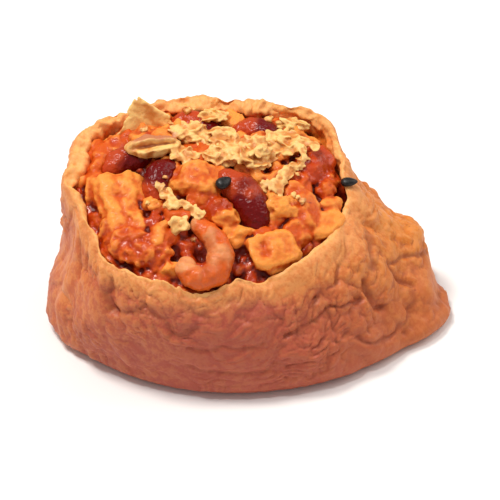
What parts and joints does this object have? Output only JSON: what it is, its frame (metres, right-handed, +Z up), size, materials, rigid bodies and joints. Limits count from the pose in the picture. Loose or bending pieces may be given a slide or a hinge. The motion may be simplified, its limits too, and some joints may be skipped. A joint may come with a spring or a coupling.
{
  "type": "inari sushi",
  "caption": "Open pouch of braised fried tofu filled with a saucy heap of chopped food, topped with red beans, crisp flakes and sesame seeds.",
  "frame": {"origin": "middle of the bounding box's footprint, on the flat base that the pouch stands on", "axes": "+Z up out of the mouth, +X along the pouch from its left bottom corner to its right one, -Y the front, where the rim is lowest"},
  "size_m": [0.0709, 0.052, 0.0367],
  "materials": {
    "fried_tofu": "matte, faintly oily",
    "sauced_filling": "wet",
    "bean_skin": "glossy"
  },
  "bodies": {
    "root": {"tofu_pouch": "fried_tofu", "filling": "sauced_filling", "red_bean_1": "bean_skin", "red_bean_2": "bean_skin", "red_bean_3": "bean_skin", "red_bean_4": "bean_skin", "red_bean_5": "bean_skin"}
  },
  "joints": []
}
